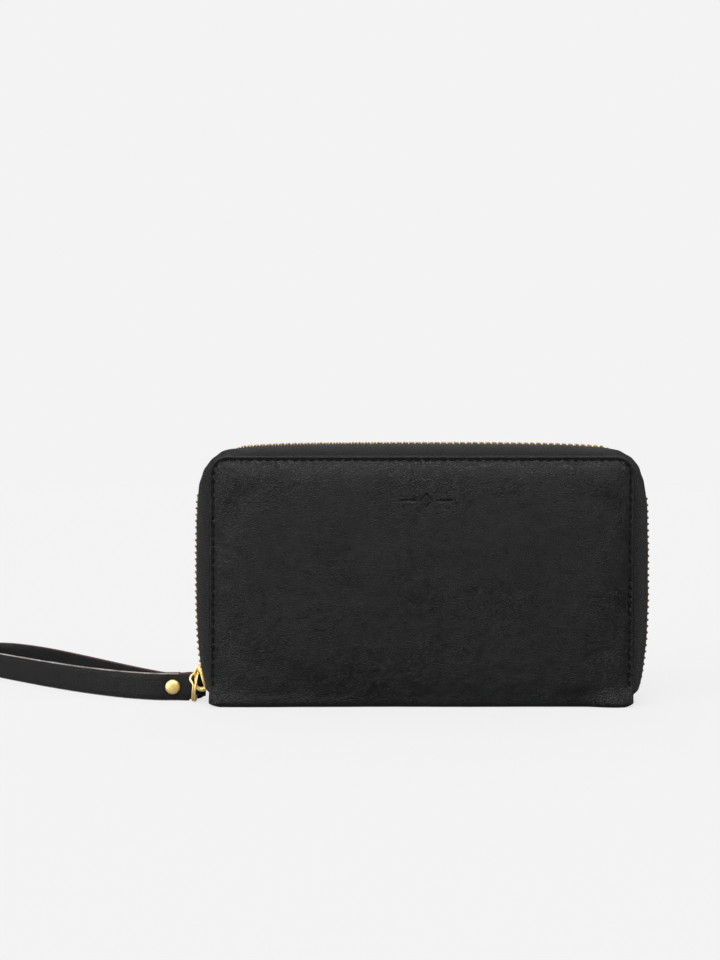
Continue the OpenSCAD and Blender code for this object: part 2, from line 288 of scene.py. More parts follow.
class Nodes:
    """A short way to write a material's node tree."""

    def __init__(self, name):
        self.material = bpy.data.materials.new(name)
        self.material.use_nodes = True
        self.tree = self.material.node_tree
        self.shader = self.tree.nodes["Principled BSDF"]

    def add(self, kind, inputs=None, **settings):
        return add_node(self.tree, kind, inputs, **settings)

    def math(self, operation, a, b=0.0):
        return self.add("ShaderNodeMath", {0: a, 1: b}, operation=operation).outputs[0]

    def sum(self, *terms):
        """The sum of the terms, each a value and its share."""
        total = 0.0
        for value, share in terms:
            total = self.math("ADD", self.math("MULTIPLY", value, share), total)
        return total

    def wave(self, value, length):
        return self.math("SINE", self.math("MULTIPLY", value, 2 * math.pi / length))

    def place(self):
        return self.add("ShaderNodeTexCoord").outputs["Object"]

    def run(self):
        return self.add("ShaderNodeUVMap", uv_map="run").outputs["UV"]

    def noise(self, vector, scale, detail=3.0, roughness=0.55):
        return self.add("ShaderNodeTexNoise", {"Vector": vector, "Scale": scale, "Detail": detail,
                                               "Roughness": roughness}).outputs["Fac"]

    def between(self, value, low, high, from_low=0.3, from_high=0.7):
        return self.add("ShaderNodeMapRange", {"Value": value, "From Min": from_low,
                                               "From Max": from_high, "To Min": low,
                                               "To Max": high}).outputs["Result"]

    def blend(self, value, first, second):
        ramp = self.add("ShaderNodeValToRGB", {"Fac": value})
        ramp.color_ramp.elements[0].color = (*first, 1)
        ramp.color_ramp.elements[1].color = (*second, 1)
        return ramp.outputs["Color"]

    def bump(self, height, strength, distance):
        inputs = {"Height": height, "Strength": strength, "Distance": distance}
        return self.add("ShaderNodeBump", inputs).outputs["Normal"]

    def set(self, **sockets):
        names = {"color": "Base Color", "roughness": "Roughness", "metallic": "Metallic",
                 "normal": "Normal", "specular": "Specular IOR Level", "sheen": "Sheen Weight",
                 "sheen_roughness": "Sheen Roughness"}
        for key, value in sockets.items():
            socket = self.shader.inputs[names[key]]
            if isinstance(value, bpy.types.NodeSocket):
                self.tree.links.new(value, socket)
            else:
                socket.default_value = (*value, 1) if key == "color" else value
        return self.material


def leather(name, dark, light, grain=1200, depth=0.00010, gloss=(0.35, 0.45), specular=0.4):
    """Fine-grained dyed leather: cells of grain, pores between them, and soft mottling."""
    n = Nodes(name)
    where = n.place()
    drift = n.add("ShaderNodeTexNoise", {"Vector": where, "Scale": 260, "Detail": 2})
    shifted = n.add("ShaderNodeMixRGB", {"Fac": 0.0018, "Color1": where,
                                         "Color2": drift.outputs["Color"]}).outputs[0]
    cells = n.add("ShaderNodeTexVoronoi", {"Vector": shifted, "Scale": grain, "Randomness": 1.0},
                  feature="DISTANCE_TO_EDGE").outputs["Distance"]
    fine = n.noise(where, grain * 2.4, 4)
    creases = n.noise(where, 180, 5, 0.62)
    height = n.sum((n.math("MINIMUM", cells, 0.22), 3.0), (fine, 0.35), (creases, 0.45))
    mottle = n.noise(where, 32, 4, 0.6)
    worn = n.sum((mottle, 0.4), (fine, 0.6))
    return n.set(color=n.blend(n.between(worn, 0, 1, 0.38, 0.62), dark, light),
                 roughness=n.between(mottle, *gloss), specular=specular,
                 normal=n.bump(height, 0.8, depth))


def raw_edge(name, dark, light):
    """A cut leather edge: packed fibres, lighter than the dyed face."""
    n = Nodes(name)
    where = n.place()
    fibres = n.noise(where, 2600, 5, 0.7)
    patch = n.noise(where, 220, 3)
    tone = n.sum((fibres, 0.55), (patch, 0.45))
    return n.set(color=n.blend(n.between(tone, 0, 1, 0.38, 0.62), dark, light), roughness=0.8,
                 specular=0.25, normal=n.bump(fibres, 0.6, 0.00012))


def woven_tape(name, dark, light):
    """Zip tape: slanted ribs that change direction across the width."""
    n = Nodes(name)
    parts = n.add("ShaderNodeSeparateXYZ", {"Vector": n.run()})
    along, across = parts.outputs["X"], parts.outputs["Y"]
    fold = n.math("PINGPONG", across, 0.0024)
    ribs = n.wave(n.sum((along, 1), (fold, 0.9)), 0.00105)
    weave = n.sum((ribs, 1), (n.wave(across, 0.00042), 0.5))
    fluff = n.noise(n.place(), 3800, 4, 0.7)
    tone = n.sum((weave, 0.24), (fluff, 0.8))
    return n.set(color=n.blend(n.between(tone, 0, 1, 0.2, 0.7), dark, light), roughness=0.7,
                 specular=0.2, sheen=0.06, sheen_roughness=0.5,
                 normal=n.bump(n.math("ADD", weave, fluff), 0.9, 0.0005))


def lining_cloth(name, dark, light):
    """A fine cotton twill."""
    n = Nodes(name)
    where = n.place()
    parts = n.add("ShaderNodeSeparateXYZ", {"Vector": where})
    x, z = parts.outputs["X"], parts.outputs["Z"]
    twill = n.wave(n.sum((x, 1), (z, 1), (parts.outputs["Y"], 0.7)), 0.0007)
    weave = n.sum((twill, 1), (n.wave(n.math("SUBTRACT", x, z), 0.0004), 0.4))
    fluff = n.noise(where, 3000, 4, 0.7)
    tone = n.sum((weave, 0.2), (fluff, 1))
    return n.set(color=n.blend(n.between(tone, 0, 1, 0.2, 0.9), dark, light), roughness=0.9,
                 specular=0.15, sheen=0.1, normal=n.bump(weave, 0.4, 0.00008))


def metal(name, base, deep, roughness, scratch, metallic=1.0):
    """Plated metal with faint cast ripples and hairline scratches."""
    n = Nodes(name)
    where = n.place()
    ripple = n.noise(where, 420, 3)
    hair = n.add("ShaderNodeMapping", {"Vector": where, "Scale": (900, 900, 5200)}).outputs["Vector"]
    lines = n.noise(hair, 1.0, 3, 0.6)
    wear = n.noise(where, 900, 4, 0.65)
    return n.set(color=n.blend(n.between(wear, 0, 1, 0.35, 0.6), deep, base), metallic=metallic,
                 roughness=n.between(n.sum((lines, 0.5), (ripple, 0.5)), *roughness),
                 normal=n.bump(n.sum((ripple, 1), (lines, 0.3)), scratch, 0.00008))


def thread(name, dark, light):
    """Twisted waxed thread."""
    n = Nodes(name)
    parts = n.add("ShaderNodeSeparateXYZ", {"Vector": n.run()})
    twist = n.wave(n.sum((parts.outputs["X"], 1 / 0.0006), (parts.outputs["Y"], 1)), 1)
    fuzz = n.noise(n.place(), 5000, 3, 0.7)
    return n.set(color=n.blend(n.between(fuzz, 0, 1), dark, light), roughness=0.75, specular=0.12,
                 normal=n.bump(twist, 0.6, 0.00006))


def moulded(name, dark, light):
    """Nylon of a coil zip."""
    n = Nodes(name)
    cloud = n.noise(n.place(), 1200, 3)
    return n.set(color=n.blend(n.between(cloud, 0, 1), dark, light), specular=0.45,
                 roughness=n.between(cloud, 0.32, 0.45), normal=n.bump(cloud, 0.15, 0.00005))


def fibre_board(name, dark, light):
    """Pressed grey-brown board, full of flecks."""
    n = Nodes(name)
    flecks = n.noise(n.place(), 1600, 6, 0.75)
    return n.set(color=n.blend(n.between(flecks, 0, 1), dark, light), roughness=0.95,
                 specular=0.2, normal=n.bump(flecks, 0.4, 0.0001))


COVER_LEATHER = leather("cover_leather", (0.0012, 0.0013, 0.0014), (0.0058, 0.0062, 0.0064),
                        depth=0.0002, gloss=(0.27, 0.35), specular=0.19)
STRAP_LEATHER = leather("strap_leather", (0.0028, 0.0028, 0.0030), (0.0070, 0.0070, 0.0074),
                        grain=1800, depth=0.0001, gloss=(0.38, 0.5), specular=0.18)
INNER_LEATHER = leather("inner_leather", (0.010, 0.010, 0.0105), (0.020, 0.020, 0.021),
                        grain=2200, depth=0.0001, gloss=(0.45, 0.6))
# The same cut edge in two copies: the lighter one is a painted highlight for the strap's front band, the
# darker one painted shade for its other edges and ends
LIT_RAW_EDGE = raw_edge("raw_edge", (0.09, 0.075, 0.068), (0.30, 0.27, 0.25))
SHADED_RAW_EDGE = raw_edge("shaded_raw_edge", (0.03, 0.012, 0.012), (0.085, 0.04, 0.038))
TAPE = woven_tape("zip_tape", (0.0025, 0.0025, 0.003), (0.019, 0.0195, 0.021))
LINING = lining_cloth("lining_cloth", (0.014, 0.014, 0.015), (0.035, 0.035, 0.037))
GOLD = metal("gold_plate", (1.0, 0.77, 0.33), (0.95, 0.66, 0.22), (0.38, 0.52), 0.10, 0.82)
BRASS = metal("zip_brass", (0.42, 0.26, 0.10), (0.10, 0.055, 0.02), (0.22, 0.36), 0.2)
THREAD = thread("black_thread", (0.0015, 0.0015, 0.0015), (0.005, 0.005, 0.005))
NYLON = moulded("nylon_coil", (0.012, 0.012, 0.013), (0.024, 0.024, 0.026))
BOARD = fibre_board("fibre_board", (0.22, 0.17, 0.11), (0.42, 0.34, 0.24))


# ---------------------------------------------------------------- outer leather
EDGE_STEPS = [0, 0.12, 0.3, 0.5, 0.75, 1.0, 1.2, 1.4, 1.55, 1.65, 1.75, 1.9, 2.1, 2.4, 2.8, 3.4,
              4.2, 5.2, 6.5, 8, 9.7, 11.5, 13.5]
EDGE_R = 0.85           # half the thickness of the turned edge


def steps_between(length, coarse=2.1):
    """Distances from an edge to the middle: fine at the edge, even after that."""
    rest = length - EDGE_STEPS[-1]
    count = max(1, round(rest / coarse))
    return EDGE_STEPS + [EDGE_STEPS[-1] + rest * (i + 1) / count for i in range(count)]


def half_width(z):
    """Half the cover's width at height z, with its rounded corners."""
    over = z - (HEIGHT - CORNER_R)
    under = FOOT_RISE - z
    if over > 0:
        return HALF_W - CORNER_R + math.sqrt(max(0, CORNER_R ** 2 - over ** 2))
    if under > 0:
        return HALF_W - FOOT_RUN * (1 - math.sqrt(max(0, 1 - (under / FOOT_RISE) ** 2)))
    return HALF_W


def edge_distance(x, z):
    """Distance from the cover's outer edge, which runs along both sides and the top."""
    qx = abs(x) - (HALF_W - CORNER_R)
    qz = z - (HEIGHT - CORNER_R)
    outside = math.hypot(max(qx, 0), max(qz, 0)) + min(max(qx, qz), 0) - CORNER_R
    return max(0.0, min(-outside, half_width(z) - abs(x)))


CROWN_FRAMES = 20       # frames that the cloth is blown for


def cloth_crown():
    """The cover's leather, blown out a little: a coarse cloth that is held along the stitches.

    Returns a function of x and z that gives how far the leather stands proud."""
    half, low, high = HALF_W - CROWN_IN, 5.0, HEIGHT - CROWN_IN
    columns, rows = 57, 33
    verts = [(mix(-half, half, i / (columns - 1)), 0, mix(low, high, j / (rows - 1)))
             for j in range(rows) for i in range(columns)]
    piece = make_mesh("crown_cloth", verts, grid_faces(rows, columns), COVER_LEATHER)
    held = piece.vertex_groups.new(name="held")
    held.add([j * columns + i for j in range(rows) for i in range(columns)
              if i in (0, columns - 1) or j in (0, rows - 1)], 1.0, "REPLACE")
    cloth = piece.modifiers.new("cloth", "CLOTH")
    settings = cloth.settings
    settings.quality = 6
    settings.mass = 0.25
    settings.tension_stiffness = settings.compression_stiffness = 18
    settings.shear_stiffness = 8
    settings.bending_stiffness = 2.5
    settings.shrink_min = -0.006
    settings.vertex_group_mass = "held"
    settings.use_pressure = True
    settings.uniform_pressure_force = 4
    settings.effector_weights.gravity = 0
    cloth.collision_settings.use_collision = False
    scene = bpy.context.scene
    cloth.point_cache.frame_start, cloth.point_cache.frame_end = 1, CROWN_FRAMES
    for number in range(1, CROWN_FRAMES + 1):
        scene.frame_set(number)
    shape = piece.evaluated_get(bpy.context.evaluated_depsgraph_get()).to_mesh()
    rise = np.array([abs(v.co.y) / MM for v in shape.vertices]).reshape(rows, columns)
    scene.frame_set(1)
    bpy.data.objects.remove(piece)

    def crown(x, z):
        i = (x + half) / (2 * half) * (columns - 1)
        j = (z - low) / (high - low) * (rows - 1)
        if not (0 < i < columns - 1 and 0 < j < rows - 1):
            return 0.0
        a, b = int(i), int(j)
        u, v = i - a, j - b
        h = (rise[b, a] * (1 - u) + rise[b, a + 1] * u) * (1 - v) \
            + (rise[b + 1, a] * (1 - u) + rise[b + 1, a + 1] * u) * v
        return CROWN * (1 - math.exp(-h / CROWN))
    return crown


def shoulder(x, z):
    """The leather's rounded rise just inside the top and side edges."""
    top = min(1.0, max(0.0, (HEIGHT - z - CROWN_IN) / 9.5))
    side = min(1.0, max(0.0, (HALF_W - abs(x) - CROWN_IN) / 13))
    return SHOULDER * (1 - (1 - top) ** 2) * (1 - (1 - side) ** 2)


# Creases in the leather: centre x, z, direction in degrees, length, width, height
CREASES = [
    (72, 93, 28, 9, 1.1, 0.10), (66, 90, 18, 12, 1.4, -0.09), (58, 93.5, 8, 12, 1.2, 0.08),
    (77, 86, 70, 10, 1.2, 0.09), (74, 79, 80, 12, 1.5, -0.07), (-76, 92, -35, 8, 1.2, 0.08),
    (-79, 84, -75, 12, 1.3, 0.08), (-68, 94, -12, 10, 1.2, -0.06), (40, 8, 4, 22, 2.2, 0.10),
    (-45, 9, -3, 26, 2.4, 0.09), (76, 10, 60, 9, 1.5, 0.14), (-78, 10, -60, 8, 1.4, 0.12),
    (5, 84, 2, 30, 3.0, 0.05), (-20, 40, 14, 34, 4.5, 0.05), (30, 55, -9, 30, 4.0, -0.05),
]


def creased(x, z, seed):
    """Small folds and slow waves of the leather's face."""
    total = 0.16 * noise.noise(Vector((x / 34, z / 26, seed)))
    total += 0.05 * noise.noise(Vector((x / 9, z / 7, seed + 7)))
    for cx, cz, turn, length, width, rise in CREASES:
        a = math.radians(turn)
        u = (x - cx) * math.cos(a) + (z - cz) * math.sin(a)
        v = -(x - cx) * math.sin(a) + (z - cz) * math.cos(a)
        if abs(u) < length and abs(v) < 3 * width:
            total += rise * bump(u / length) * math.exp(-(v / width) ** 2)
    return total


def front_taper(x, z):
    """How far the front's leather lies from its even place, along X."""
    return FRONT_SHIFT - 0.9 * (1 - z / HEIGHT) * smooth(x / HALF_W)


def foot_swell(x, z):
    """How far the front's foot bulges forward where the leather turns under the wallet."""
    return (0.9 + 1.2 * bump((x + 78) / 70) + 2.4 * bump((x - 76) / 12)) * smooth((9 - z) / 8)


ORNAMENT_PLACE = (1.5, 81.2)            # x and z of the pressed mark's middle
ORNAMENT_REACH = (11.0, 3.4)            # and what it needs fine rows and columns for
ORNAMENT_STEP = 0.36


def ornament(x, z):
    """A small pressed diamond between two bars, near the top of the front."""
    dx, dz = abs(x - ORNAMENT_PLACE[0]), abs(z - ORNAMENT_PLACE[1])
    diamond = abs(dx / 2.2 + dz / 2.5 - 1) * 1.65
    bar = max(abs(dx - 7.2) - 2.8, dz - 0.2)
    return -0.42 * (smooth(1 - diamond / 0.62) + smooth(1 - max(bar, 0) / 0.45))


def with_fine_steps(values, middle, reach):
    """The values in rising order, with even small steps in place of those near the middle."""
    kept = [v for v in values if abs(v - middle) > reach]
    count = round(2 * reach / ORNAMENT_STEP)
    return sorted(kept + [middle - reach + 2 * reach * k / count for k in range(count + 1)])


def profile_rows():
    """Rows of the outer leather from the front's top edge, under the spine, to the back's top:
    y, z, outward normal in y and z, and the side it belongs to."""
    wall = [HEIGHT - d for d in steps_between(HEIGHT - 8.0)]
    wall = with_fine_steps(wall, ORNAMENT_PLACE[1], ORNAMENT_REACH[1])[::-1]
    wall += [6.8, 5.6, 4.6, 3.7, 3.0, 2.4, 2.0, FOLD_R]
    rows = [(-HALF_T, z, -1.0, 0.0) for z in wall]
    flat = HALF_T - FOLD_R
    for k in range(1, 8):
        a = math.pi / 2 * k / 8
        rows.append((-flat - FOLD_R * math.cos(a), FOLD_R - FOLD_R * math.sin(a),
                     -math.cos(a), -math.sin(a)))
    rows += [(mix(-flat, 0, k / 6), 0, 0.0, -1.0) for k in range(7)]
    return rows + [(-y, z, -ny, nz) for y, z, ny, nz in reversed(rows[:-1])]


def outer_leather(crown):
    """The one skin of leather: front, spine and back, with a turned edge round its border."""
    wide = steps_between(HALF_W)
    columns = [d - HALF_W for d in wide] + [HALF_W - d for d in reversed(wide[:-1])]
    columns = [x / HALF_W for x in with_fine_steps(columns, ORNAMENT_PLACE[0], ORNAMENT_REACH[0])]
    rows = profile_rows()
    outer, inner = [], []
    for y, z, ny, nz in rows:
        for u in columns:
            x = u * half_width(z)
            d = edge_distance(x, z)
            back = y > 0
            # The turned edge: both faces curve to the middle of the leather's thickness
            turn = EDGE_R - math.sqrt(max(0, EDGE_R ** 2 - (EDGE_R - d) ** 2)) if d < EDGE_R else 0
            thick = mix(2 * EDGE_R, LEATHER, smooth((d - 1.2) / 1.5))
            lift = 0.0
            if abs(ny) > 0.3:
                fade = smooth((z + 2.0) / 11) * smooth((d - 1.7) / 2.2)
                face = crown(x if not back else -x, z) + shoulder(x, z) + 0.12
                lift = face * fade + creased(x, z, 31 if back else 3) * smooth((d - CROWN_IN) / 5)
                lift -= 0.18 * math.exp(-((d - STITCH_IN) / 0.45) ** 2) * smooth((z - 5) / 4)
                lift += 0.16 * math.exp(-((d - 0.75) / 0.35) ** 2)
                if not back:
                    lift += ornament(x, z)
            # The cover narrows a little towards its lower right corner, and bulges there
            taper = 0 if back else front_taper(x, z) * abs(ny)
            foot = foot_swell(x, z) * smooth((-y - 3) / 6)
            side = lift - turn
            outer.append((x + taper, y + ny * side - foot,
                          max(0.0, z + nz * (side if nz > -0.9 else -turn))))
            inner.append((x + taper, y - ny * (thick - turn), z - nz * (thick - turn)))
    piece = closed_sheet("outer_leather", outer, inner, len(columns), COVER_LEATHER, sharp=80)
    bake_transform(piece)
    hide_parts("front_cover", "spine", "back_cover")
    return piece


STITCH_FOOT = 7.6       # height of the lowest stitches


def stitch_line():
    """The stitches' path in x and z: up the left side, over the top and down the right."""
    half, top, r = HALF_W - STITCH_IN, HEIGHT - STITCH_IN, CORNER_R - STITCH_IN
    points = [(-half, STITCH_FOOT), (-half, top - r)]
    points += [(-half + r - r * math.cos(a), top - r + r * math.sin(a))
               for a in (math.pi / 2 * k / 8 for k in range(1, 9))]
    return points + [(-x, z) for x, z in reversed(points)]


def stitches(parts, points, face, normal, pitch=STITCH_PITCH, radius=0.34, slant=0.2, taper=None):
    """Adds a row of stitches: each dips into the leather at both ends. face(x, z) is the y of
    the surface, and normal is -1 or 1, the way it faces."""
    path = Path(points)
    count = int(path.length / pitch)
    for k in range(count):
        middle = (k + 0.5) * path.length / count
        t = path.along(middle)
        across = np.array([-t[1], t[0]])
        run = []
        for step in range(9):
            f = step / 8 - 0.5
            x, z = path.at(middle) + t * f * pitch * 0.78 + across * slant * f * 2
            sink = 0.12 - 0.34 * (2 * abs(f)) ** 3
            shift = taper(x, z) if taper else 0
            run.append((x + shift, face(x, z) + normal * sink, z))
        parts.tube(run, lambda s: radius * (0.55 + 0.45 * math.sin(math.pi * min(1, max(0, s)))),
                   sides=7, up=(0, 1, 0))


def cover_stitches():
    """The rows of stitches round both covers."""
    for name, body, sign in (("front_stitches", "front", -1), ("back_stitches", "back", 1)):
        parts = Parts()
        taper = front_taper if sign < 0 else None
        stitches(parts, stitch_line(), lambda x, z: sign * (HALF_T - 0.12), sign, taper=taper)
        place(parts.piece(name, THREAD), body)


# ---------------------------------------------------------------- main zip
def chain_runs():
    """The outer side of the closed teeth, from the tail at the lower left to the middle top."""
    w, top = CHAIN_W, CHAIN_TOP
    return [
        ((-78.0, 4.2), (-82.0, 4.0), (-86.0, 3.6), (-87.2, 6.4)),
        ((-87.2, 6.4), (-89.9, 14.5), (-w, 28.0), (-w, 48.0)),
        ((-w, 48.0), (-w, 62.0), (-w, 72.0), (-w + 0.5, 82.0)),
        ((-w + 0.5, 82.0), (-w + 1.4, 94.0), (-84.0, top - 2.1), (-70.0, top - 1.3)),
        ((-70.0, top - 1.3), (-56.0, top - 0.1), (-30.0, top), (0.0, top)),
    ]


CHAIN_STEPS = 24
TAIL_STEPS = CHAIN_STEPS        # the first run is the tail, which has no teeth


def whole_chain():
    """The chain's outer side all the way round. Its right side is drawn in a little."""
    half = bezier_chain(chain_runs(), CHAIN_STEPS)
    right = []
    for x, z in reversed(half[:-1]):
        corner = 0.7 * bump((z - 92) / 13) * smooth((-x - 70) / 10)
        right.append((-x - 0.6 * smooth(-x / 70) - corner, z))
    return half + right


CHAIN = whole_chain()


def outward(points, i):
    """The outward normal of a path that runs clockwise, at point i."""
    a, b = points[max(i - 1, 0)], points[min(i + 1, len(points) - 1)]
    d = np.array(b) - np.array(a)
    d = d / np.linalg.norm(d)
    return np.array([-d[1], d[0]])


def cover_edge(i, inset=1.3):
    """The point of the cover's edge that the tape comes out of, for point i of the chain."""
    x, z = CHAIN[i]
    half, top, r = HALF_W - inset, HEIGHT - inset, CORNER_R - inset
    limit_x, limit_z = half - r, top - r
    if abs(x) <= limit_x:
        return np.array([x, top if z > HEIGHT / 2 else 1.6])
    if z <= limit_z:
        return np.array([math.copysign(half_width(z) - inset, x), max(z, 1.6)])
    # Round the corner the edge is followed by angle about the corner's centre
    a = math.atan2(z - limit_z, abs(x) - limit_x)
    return np.array([math.copysign(limit_x + r * math.cos(a), x), limit_z + r * math.sin(a)])


def corner_turn(point):
    """1 where the zip goes round a top corner and sinks between its tapes, 0 elsewhere."""
    return smooth((abs(point[0]) - 71) / 7) * smooth((point[1] - 81.5) / 7)


TEETH_SINK = 1.1        # how deep the teeth sink at those corners
TAPE_T = 0.55
TAPE_W = 11             # the tape's width in its texture
TAPE_STEPS = 14


def tape_half(name, body, side):
    """One half of the zip's tape: out from under the cover's edge, bulging, in to the teeth."""
    rings, uvs, run = [], [], 0.0
    for i in range(len(CHAIN)):
        n = outward(CHAIN, i)
        chain = np.array(CHAIN[i]) - n * (TOOTH_T / 2)
        edge = cover_edge(i)
        if i:
            run += float(np.linalg.norm(np.array(CHAIN[i]) - np.array(CHAIN[i - 1])))
        turn = corner_turn(chain)
        chain = chain - n * TEETH_SINK * turn
        middle = mix(edge, chain, 0.62)
        reach = mix(0.95, 4.3, turn)
        skin, under, skin_uv, under_uv = [], [], [], []
        for k in range(TAPE_STEPS + 1):
            t = k / TAPE_STEPS
            p = bezier(((edge[0], edge[1], HALF_T - 1.75), (middle[0], middle[1], HALF_T - 1.6),
                        (chain[0] + n[0] * reach, chain[1] + n[1] * reach, HALF_T - 4.4),
                        (chain[0], chain[1], 2.3)), t)
            # Gathers where the tape goes round the corner
            swell = math.sin(math.pi * t)
            gather = 0.30 * turn * swell * math.sin(t * 15 + 0.5 * math.sin(run * 0.5 + side))
            gather += 0.08 * turn * swell * math.sin(run * 1.15 + t * 5 + side)
            ripple = 0.10 * math.sin(run * 0.37 + side) * swell
            out = gather + ripple
            skin.append((p[0] + n[0] * out, side * (p[2] + 0.3 * gather), p[1] + n[1] * out))
            low = out - TAPE_T
            under.append((p[0] + n[0] * low, side * (p[2] - 0.35), p[1] + n[1] * low))
            skin_uv.append((run * MM, t * TAPE_W * MM))
            under_uv.append((run * MM, (t * TAPE_W + 20) * MM))
        rings.append(skin + under[::-1])
        uvs.append(skin_uv + under_uv[::-1])
    place(lofted(name, rings, TAPE, uvs), body, [f"{body}_zip_tape"])


# One tooth across the chain: distance from its outer end, half thickness, half width along the chain
TOOTH_RINGS = [(0.0, 0.55, 0.36), (0.12, 0.86, 0.56), (0.4, 1.0, 0.63), (1.9, 1.0, 0.63),
               (2.35, 0.92, 0.60), (2.6, 0.66, 0.56), (3.3, 0.62, 0.52), (3.75, 0.45, 0.40)]
TOOTH_OUT = 3.15        # a tooth's outer end to the middle plane


def tooth(parts, centre, out, along, side):
    """A cast tooth that grips the tape's edge: broad legs outside, a narrow head to the middle."""
    rings = []
    for reach, half_o, half_t in TOOTH_RINGS:
        y = side * (TOOTH_OUT - reach)
        ring = []
        for k in range(8):
            a = math.pi / 8 + k * math.pi / 4
            o, t = half_o * math.cos(a) * 1.0824, half_t * math.sin(a) * 1.0824
            o = max(-half_o, min(half_o, o * 1.18))
            t = max(-half_t, min(half_t, t * 1.18))
            q = centre + out * o + along * t
            ring.append((q[0], y, q[1]))
        rings.append(ring)
    parts.loft(rings)


def teeth_rows():
    """Both rows, meshed: the back row is half a pitch behind the front one."""
    path = Path(CHAIN[TAIL_STEPS:-TAIL_STEPS])
    count = int(path.length / TOOTH_PITCH)
    for body, side, shift in (("front", -1, 0.25), ("back", 1, 0.75)):
        parts = Parts()
        for k in range(count):
            s = (k + shift) * path.length / count
            t = path.along(s)
            n = np.array([-t[1], t[0]])
            middle = path.at(s) - n * (TOOTH_T / 2)
            middle = middle - n * TEETH_SINK * corner_turn(middle)
            tooth(parts, middle, n, t, side)
        place(parts.piece(f"{body}_teeth", BRASS, sharp=40), body,
              [f"{body}_zip_teeth"])


def clip(parts, place_at, along, out, y_low, y_high):
    """A strip of metal folded over the tape's edge."""
    rings = []
    for y, inset in ((y_low, 0.25), (y_low + 0.2, 0.0), (y_high - 0.2, 0.0), (y_high, 0.25)):
        corners = rounded_outline([(-0.8 + inset, -1.0 + inset), (0.8 - inset, -1.0 + inset),
                                   (0.8 - inset, 1.0 - inset), (-0.8 + inset, 1.0 - inset)], 0.45)
        rings.append([(place_at[0] + along[0] * a + out[0] * o, y,
                       place_at[1] + along[1] * a + out[1] * o) for a, o in corners])
    parts.loft(rings)


def zip_stops():
    """The clips at both ends of the teeth: one for each tape at the slider's end, and one
    across both tapes at the other end."""
    path = Path(CHAIN[TAIL_STEPS:-TAIL_STEPS])
    for name, body, s, low, high in (("front_top_stop", "front", -0.3, -3.0, -0.4),
                                     ("back_top_stop", "back", -0.3, 0.4, 3.0),
                                     ("bottom_stop", "back", path.length + 0.2, -2.4, 2.4)):
        t = path.along(min(max(s, 0), path.length))
        n = np.array([-t[1], t[0]])
        end = path.at(s) + t * (s - min(max(s, 0), path.length))
        parts = Parts()
        clip(parts, end - n * 1.3, t, n, low, high)
        place(parts.piece(f"{name}_clip", BRASS, sharp=40), body, [name])


# ---------------------------------------------------------------- slider, ring, rivet and strap
def plate(outline, thickness, bevel, to_space, segments=2):
    """A flat plate of that outline with rounded rims, as vertices and faces. to_space turns
    (u, v, depth) into a point."""
    work = bmesh.new()
    ring = [work.verts.new((u, v, 0)) for u, v in outline]
    face = work.faces.new(ring)
    made = bmesh.ops.extrude_face_region(work, geom=[face])
    moved = [v for v in made["geom"] if isinstance(v, bmesh.types.BMVert)]
    for v in moved:
        v.co.z = thickness
    bmesh.ops.recalc_face_normals(work, faces=work.faces)
    rims = [e for e in work.edges
            if all(v.co.z < 1e-6 for v in e.verts) or all(v.co.z > thickness - 1e-6 for v in e.verts)]
    bmesh.ops.bevel(work, geom=rims, offset=bevel, segments=segments, profile=0.5, affect="EDGES")
    work.verts.ensure_lookup_table()
    verts = [to_space(v.co.x, v.co.y, v.co.z) for v in work.verts]
    faces = [tuple(v.index for v in f.verts) for f in work.faces]
    work.free()
    return verts, faces


def joined(name, meshes, materials):
    """One piece from several (verts, faces) lists."""
    verts, faces = [], []
    for v, f in meshes:
        first = len(verts)
        verts += v
        faces += [tuple(first + k for k in face) for face in f]
    return weld(make_mesh(name, verts, faces, materials, sharp=40), 0.0001)


def rounded_outline(points, radius, steps=4):
    """A polygon with its corners rounded."""
    out = []
    n = len(points)
    for i in range(n):
        p, a, b = (np.array(points[k % n], float) for k in (i, i - 1, i + 1))
        da, db = a - p, b - p
        r = min(radius, np.linalg.norm(da) / 2.1, np.linalg.norm(db) / 2.1)
        start, end = p + da / np.linalg.norm(da) * r, p + db / np.linalg.norm(db) * r
        for k in range(steps + 1):
            t = k / steps
            out.append(tuple((1 - t) ** 2 * start + 2 * t * (1 - t) * p + t * t * end))
    return out


SLIDER_FOOT = Vector((-86.7, 0, 6.2))           # where the slider stands on the chain
SLIDER_HEAD = Vector((-89.4, 0, 15.5))
# The bail's middle line in x and z, from the slider's head round to its foot
BAIL_LINE = [(-89.0, 14.7), (-89.9, 14.5), (-90.7, 14.0), (-91.2, 13.0), (-91.35, 11.2),
             (-91.2, 8.5), (-91.0, 6.9), (-90.5, 5.9), (-89.5, 5.35), (-88.2, 5.3), (-86.8, 6.0)]


def bail():
    """The bowed bar in the middle plane that holds the ring, thicker at its foot."""
    line = Path(BAIL_LINE)
    rings = []
    for s, (x, z), n in line.walk(30, 1.0):
        f = s / line.length
        half_n = mix(0.38, 1.0, smooth((f - 0.55) / 0.35))
        half_y = 1.15 - 0.15 * math.sin(math.pi * f)
        ring = []
        for m in range(12):
            a = 2 * math.pi * m / 12
            # A power below 1 squares the section up
            c, q = (math.copysign(abs(w) ** 0.7, w) for w in (math.cos(a), math.sin(a)))
            ring.append((x + n[0] * half_n * c, half_y * q, z + n[1] * half_n * c))
        rings.append(ring)
    bar = Parts()
    bar.loft(rings)
    return bar.verts, bar.faces


